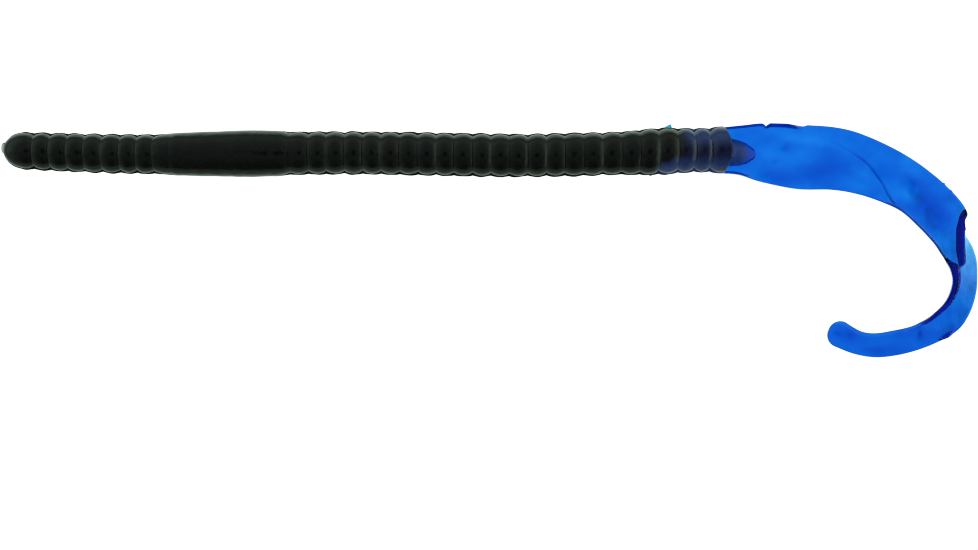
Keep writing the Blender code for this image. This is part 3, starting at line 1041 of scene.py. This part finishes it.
def core_material():
    """Navy plastic that turns bluer towards its tip and its foot: painted light, for light shining
    through the thin plastic there.
    """
    material, nodes, shader, _ = new_material("navy_core")
    rest = nodes.rest()
    x, _, z = nodes.split(rest)
    # Painted light: lighter blue at the thin tip and at the foot, for light shining through the plastic
    lit_toward_tip = nodes.ranged(x, 73.2, 75.6)
    uneven = nodes.mix(nodes.noise(rest, 1.2), (0.002, 0.014, 0.08, 1.0), (0.008, 0.03, 0.15, 1.0))
    core = nodes.mix(lit_toward_tip, uneven, (0.002, 0.05, 0.34, 1.0))
    foot = nodes.ranged(z, 1.9, 0.9)
    nodes.link(nodes.mix(foot, core, (0.0015, 0.03, 0.36, 1.0)), shader.inputs["Base Color"])
    shader.inputs["Specular IOR Level"].default_value = 0.18
    uneven_surface(nodes, shader, (1.5, 0.16, 0.3), (1.4, 0.4, 0.0002))
    return material


def flash_material():
    """Bright cyan-blue of the thin scraps of flash."""
    material, nodes, shader, _ = new_material("blue_flash")
    colour = nodes.mix(nodes.noise(nodes.rest(), 3.0), (0.004, 0.24, 0.42, 1.0), (0.02, 0.4, 0.6, 1.0))
    nodes.link(colour, shader.inputs["Base Color"])
    uneven_surface(nodes, shader, (4.0, 0.2, 0.35), (5.0, 0.3, 0.0001))
    return material


def gate_material():
    """Pale grey-green plastic of the stub at the nose."""
    material, nodes, shader, _ = new_material("pale_gate")
    colour = nodes.mix(nodes.noise(nodes.rest(), 2.0), (0.16, 0.21, 0.17, 1.0), (0.34, 0.4, 0.34, 1.0))
    nodes.link(colour, shader.inputs["Base Color"])
    uneven_surface(nodes, shader, (3.0, 0.25, 0.4), (4.0, 0.3, 0.0001))
    return material


def ribbon_material():
    """Clear blue plastic, coloured through its depth."""
    material, nodes, shader, output = new_material("clear_blue_plastic")
    shader.inputs["Base Color"].default_value = WHITE
    shader.inputs["Transmission Weight"].default_value = 1.0
    shader.inputs["IOR"].default_value = PLASTIC_IOR
    uneven_surface(nodes, shader, (0.8, 0.03, 0.09), (0.9, 0.3, 0.0001))
    volume = nodes.add("ShaderNodeVolumeAbsorption")
    volume.inputs["Color"].default_value = PLASTIC_COLOUR
    volume.inputs["Density"].default_value = PLASTIC_DENSITY
    nodes.link(volume.outputs[0], output.inputs["Volume"])
    return material


# ----------------------------------------------------------------------------------------------------
# Studio
# ----------------------------------------------------------------------------------------------------

# Places and sizes of the studio are in metres
CAMERA_PLACE = (0.0372, -0.0172, 0.2341)
CAMERA_LENS = 60.0
SENSOR_WIDTH = 36.0
SHADE_RADIUS = 0.075
SHADE_FADE = (0.035, 0.072)
FLOOR_HEIGHT = -0.11
FLOOR_HALF_WIDTH = 4.0
FLOOR_WHITE = (1.02, 1.02, 1.02, 1.0)

# The middle of the floor's light, and how much it is drawn out along X
LIGHT_X, LIGHT_Y = 0.037, 0.09
LIGHT_DRAWN_OUT = 0.7

# Light of the floor by distance, and how bright it is through the plastic. Beyond the fold it is dimmer
FLOOR_LIGHT = ((0.0, 0.85), (0.12, 0.8), (0.28, 0.33), (0.6, 0.27), (1.0, 0.24))
FLOOR_THROUGH = ((0.0, 1.0), (0.2, 1.0), (0.4, 0.55), (0.7, 0.35), (1.0, 0.3))
THROUGH_LIGHT = 1.6
DIM_START, DIM_END, DIM_SHARE = 0.129, 0.142, 0.32

# The room's light by height, behind the worm and before it
ROOM_TINT = (0.77, 1.0, 0.85)
BACK_LIGHT = ((0.0, 0.33), (0.25, 0.34), (0.6, 0.25), (0.9, 0.18), (1.0, 0.13))
FRONT_LIGHT = ((0.0, 0.06), (0.3, 0.025), (0.6, 0.045), (0.8, 0.09), (1.0, 0.13))
SOFT_LIGHT = (1.4, 1.4, 1.4, 1.0)


def floor_material():
    """A lit floor. Its reflection fades with distance, and it looks plain white."""
    material, nodes, shader, _ = new_material("lit_floor", "ShaderNodeEmission")
    place_x, place_y, _ = nodes.split(nodes.add("ShaderNodeTexCoord").outputs["Object"])
    x = nodes.math("MULTIPLY", nodes.math("SUBTRACT", place_x, LIGHT_X), LIGHT_DRAWN_OUT)
    y = nodes.math("SUBTRACT", place_y, LIGHT_Y)
    squares = nodes.math("ADD", nodes.math("MULTIPLY", x, x), nodes.math("MULTIPLY", y, y))
    far = nodes.math("SQRT", squares)
    mirrored = nodes.ramp(far, FLOOR_LIGHT, ROOM_TINT)
    through = nodes.ramp(far, FLOOR_THROUGH, WHITE)
    path = nodes.add("ShaderNodeLightPath")
    seen_through = path.outputs["Is Transmission Ray"]
    light = nodes.mix(seen_through, mirrored, through)
    nodes.link(nodes.mix(path.outputs["Is Camera Ray"], light, FLOOR_WHITE), shader.inputs["Color"])
    gain = nodes.ranged(seen_through, 0.0, 1.0, 1.0, THROUGH_LIGHT, "LINEAR")
    dimmer = nodes.ranged(place_x, DIM_START, DIM_END, 0.0, DIM_SHARE)
    loss = nodes.math("MULTIPLY", dimmer, seen_through)
    kept = nodes.math("SUBTRACT", 1.0, loss)
    nodes.link(nodes.math("MULTIPLY", gain, kept), shader.inputs["Strength"])
    return material


def add_floor(lit):
    """The floor, well below the worm so that it can bend down."""
    mesh = bpy.data.meshes.new("floor")
    half = FLOOR_HALF_WIDTH
    corners = [(-half, -half, 0), (half, -half, 0), (half, half, 0), (-half, half, 0)]
    mesh.from_pydata(corners, [], [(0, 1, 2, 3)])
    mesh.materials.append(lit)
    placed("floor", mesh, (0.0, 0.0, FLOOR_HEIGHT))


def shade_material():
    """Black that fades out to clear at the rim."""
    material, nodes, mixed, _ = new_material("camera_shade", "ShaderNodeMixShader")
    dark = nodes.add("ShaderNodeEmission")
    dark.inputs["Color"].default_value = (0.012, 0.012, 0.012, 1.0)
    clear = nodes.add("ShaderNodeBsdfTransparent")
    length = nodes.add("ShaderNodeVectorMath", operation="LENGTH")
    nodes.link(nodes.add("ShaderNodeTexCoord").outputs["Object"], length.inputs[0])
    nodes.link(nodes.ranged(length.outputs["Value"], *SHADE_FADE), mixed.inputs[0])
    nodes.link(dark.outputs[0], mixed.inputs[1])
    nodes.link(clear.outputs[0], mixed.inputs[2])
    return material


def add_camera_shade(dark):
    """The dark camera overhead, which shows only as a small dark reflection on each rib."""
    mesh = bpy.data.meshes.new("camera_shade")
    turns = [2 * math.pi * i / 48 for i in range(48)]
    rim = [(SHADE_RADIUS * math.cos(turn), SHADE_RADIUS * math.sin(turn), 0.0) for turn in turns]
    mesh.from_pydata(rim, [], [tuple(range(len(rim)))])
    mesh.materials.append(dark)
    x, y, z = CAMERA_PLACE
    shade = placed("camera_shade", mesh, (x, y, z + 0.002))
    shade.visible_camera = False
    shade.visible_diffuse = False
    shade.visible_shadow = False
    shade.visible_transmission = False


def set_world():
    """A soft room: bright to the back, dim overhead, dark to the front. Straight views of it are white."""
    world = bpy.data.worlds.new("soft_room")
    world.use_nodes = True
    nodes = Nodes(world.node_tree)
    output = nodes.add("ShaderNodeOutputWorld")
    background = nodes.add("ShaderNodeBackground")
    nodes.link(background.outputs[0], output.inputs["Surface"])
    x, y, z = nodes.split(nodes.add("ShaderNodeTexCoord").outputs["Generated"])
    back = nodes.ramp(z, BACK_LIGHT, ROOM_TINT)
    front = nodes.ramp(z, FRONT_LIGHT, ROOM_TINT)
    room = nodes.mix(nodes.ranged(y, 0.1, -0.35), back, front)
    both_ends = nodes.math("MULTIPLY", nodes.math("MULTIPLY", x, x), 0.35)
    right_end = nodes.math("MULTIPLY", nodes.ranged(x, 0.5, 1.0), 0.85)
    low = nodes.ranged(z, 1.0, 0.4)
    ends = nodes.math("MULTIPLY", nodes.math("ADD", both_ends, right_end), low)
    glow = nodes.add("ShaderNodeVectorMath", operation="SCALE")
    glow.inputs[0].default_value = ROOM_TINT
    nodes.link(ends, glow.inputs["Scale"])
    brighter = nodes.add("ShaderNodeVectorMath", operation="ADD")
    nodes.link(room, brighter.inputs[0])
    nodes.link(glow.outputs["Vector"], brighter.inputs[1])
    path = nodes.add("ShaderNodeLightPath")
    lit = nodes.mix(path.outputs["Is Diffuse Ray"], brighter.outputs["Vector"], SOFT_LIGHT)
    nodes.link(nodes.mix(path.outputs["Is Camera Ray"], lit, WHITE), background.inputs["Color"])
    bpy.context.scene.world = world


def add_camera():
    """The camera, straight above the worm and looking down."""
    data = bpy.data.cameras.new("camera")
    data.lens = CAMERA_LENS
    data.sensor_width = SENSOR_WIDTH
    data.clip_start = 0.01
    bpy.context.scene.camera = placed("camera", data, CAMERA_PLACE)


add_camera()
set_world()
add_floor(floor_material())
add_camera_shade(shade_material())
bpy.context.scene.view_settings.view_transform = "Standard"
bpy.context.scene.cycles.filter_width = 1.0

add_body_skin(body_material(), flash_material())
add_gate(gate_material())
add_ribbon(ribbon_material())
add_core(core_material())
